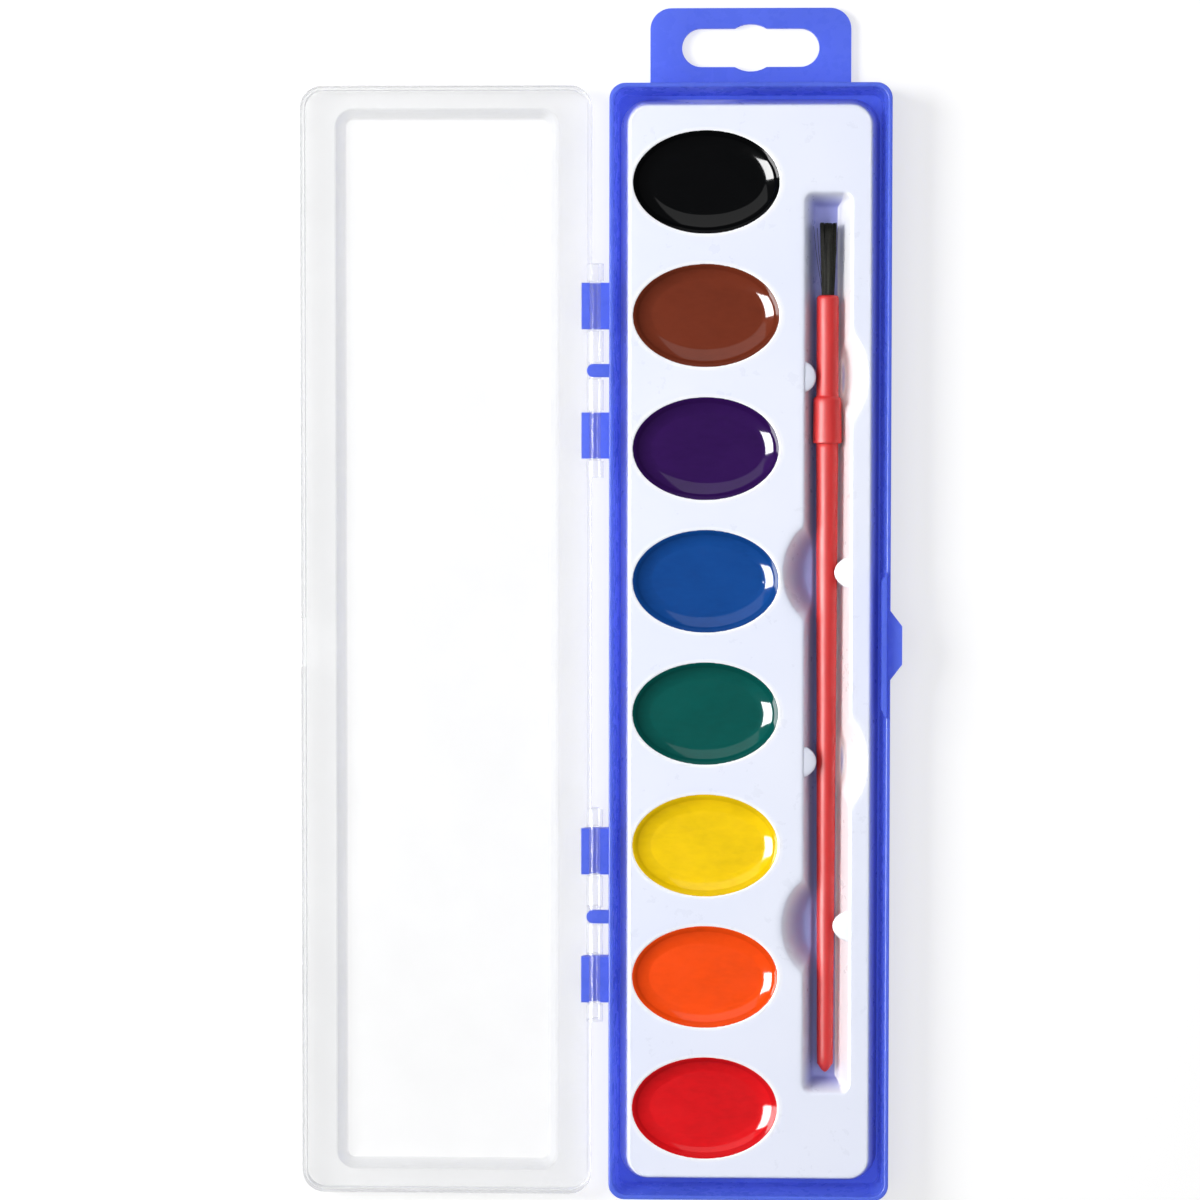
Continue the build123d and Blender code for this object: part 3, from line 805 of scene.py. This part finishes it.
def white_floor():
    """A floor that looks white, keeps the object's shadow and bounces plain light."""
    n = Nodes("white_floor")
    bounce_low = (0.84, 0.84, 0.84, 1)
    bounce_high = (0.86, 0.86, 0.86, 1)
    cloud = n.ramp(n.noise(0.004, 2.0), 0.3, 0.7)
    path = n.add("ShaderNodeLightPath")
    seen = n.maths("MAXIMUM", path.outputs["Is Camera Ray"], path.outputs["Is Transmission Ray"])
    seen = n.maths("MAXIMUM", seen, path.outputs["Is Glossy Ray"])
    bounce = n.mix(cloud, bounce_low, bounce_high)
    n.feed(n.shader.inputs["Base Color"], n.mix(seen, bounce, (floor_seen_base,) * 3 + (1,)))
    n.shader.inputs["Roughness"].default_value = 0.9
    n.shader.inputs["Specular IOR Level"].default_value = 0.0
    n.shader.inputs["Emission Color"].default_value = (1, 1, 1, 1)
    n.feed(n.shader.inputs["Emission Strength"], n.maths("MULTIPLY", seen, floor_seen_glow))
    return n.material


def make_floor():
    """The floor below the case, in metres."""
    data = bpy.data.meshes.new("floor")
    corners = [(x * floor_half, y * floor_half, floor_z) for x, y in ((-1, -1), (1, -1), (1, 1), (-1, 1))]
    data.from_pydata(corners, [], [(0, 1, 2, 3)])
    data.materials.append(white_floor())
    floor = link(bpy.data.objects.new("floor", data))


def make_lamp(name, place, target, size, power, diffuse=True, glossy=True):
    """A rectangular lamp that faces a target; its power is in watts."""
    data = bpy.data.lights.new(name, "AREA")
    data.shape = "RECTANGLE"
    data.size = size[0] * mm
    data.size_y = size[1] * mm
    data.energy = power
    lamp = link(bpy.data.objects.new(name, data))
    lamp.location = [part * mm for part in place]
    way = np.array(target, float) - np.array(place, float)
    lamp.rotation_mode = "QUATERNION"
    lamp.rotation_quaternion = Vector(way).to_track_quat("-Z", "Y")
    lamp.visible_diffuse = diffuse
    lamp.visible_glossy = glossy
    lamp.visible_transmission = glossy
    lamp.visible_camera = False
    return lamp


def make_world():
    """Dim soft light from all round, darker overhead, with white where the camera looks past the floor."""
    world = bpy.data.worlds.new("studio")
    bpy.context.scene.world = world
    world.use_nodes = True
    tree = world.node_tree
    tree.nodes.clear()
    place = tree.nodes.new("ShaderNodeTexCoord")
    split = tree.nodes.new("ShaderNodeSeparateXYZ")
    tree.links.new(place.outputs["Generated"], split.inputs[0])
    height = tree.nodes.new("ShaderNodeMapRange")
    height.inputs["From Min"].default_value = 0.15
    height.inputs["From Max"].default_value = 0.9
    height.inputs["To Min"].default_value = horizon_light
    height.inputs["To Max"].default_value = zenith_light
    tree.links.new(split.outputs["Z"], height.inputs["Value"])
    path = tree.nodes.new("ShaderNodeLightPath")
    mirrored = tree.nodes.new("ShaderNodeMix")
    tree.links.new(path.outputs["Is Glossy Ray"], mirrored.inputs[0])
    tree.links.new(height.outputs["Result"], mirrored.inputs[2])
    mirrored.inputs[3].default_value = mirrored_light
    strength = tree.nodes.new("ShaderNodeMix")
    tree.links.new(path.outputs["Is Camera Ray"], strength.inputs[0])
    tree.links.new(mirrored.outputs[0], strength.inputs[2])
    strength.inputs[3].default_value = 1.0
    shader = tree.nodes.new("ShaderNodeBackground")
    shader.inputs["Color"].default_value = (1, 1, 1, 1)
    tree.links.new(strength.outputs[0], shader.inputs["Strength"])
    output = tree.nodes.new("ShaderNodeOutputWorld")
    tree.links.new(shader.outputs[0], output.inputs["Surface"])


def make_lamps():
    """A soft key from the left, a fill overhead, and a window and a pale wall that only gloss mirrors."""
    middle = (-10, 0, 5)
    make_lamp("key", (-560, 160, 520), middle, size=(320, 320), power=5.4, glossy=False)
    make_lamp("fill", (0, 0, 900), (0, 0, 0), size=(900, 900), power=3.8, glossy=False)
    make_lamp("window", (-340, -56, 260), (0, -20, 5), size=(260, 300), power=7.5, diffuse=False)
    make_lamp("pale_wall", (-110, 350, 330), middle, size=(520, 420), power=0.50, diffuse=False)


def make_camera():
    """The photograph's view: from above, with the hang tab at the top."""
    data = bpy.data.cameras.new("camera")
    data.lens = camera_lens
    data.sensor_width = 36
    data.clip_start = 0.01
    data.clip_end = 20
    camera = link(bpy.data.objects.new("camera", data))
    camera.location = [part * mm for part in camera_place]
    camera.rotation_euler = [math.radians(angle) for angle in camera_turn]
    bpy.context.scene.camera = camera


def dress(node, material):
    """Gives a CAD node its material."""
    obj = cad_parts[node]
    obj.data.materials.clear()
    obj.data.materials.append(material)


make_camera()
make_world()
make_lamps()
make_floor()
dress("base_case", blue_plastic())
dress("lid", clear_lid())
tray_material = white_tray()
build_tray(tray_material)
for nub in range(len(nub_places)):
    build_nub(nub, tray_material)
for number, pan in enumerate(pan_colours):
    build_cake(pan, paint_skin(pan), paint_skin(pan, edge=True), number)
build_brush(red_plastic(), dark_hair())

bpy.context.scene.view_settings.view_transform = "Standard"
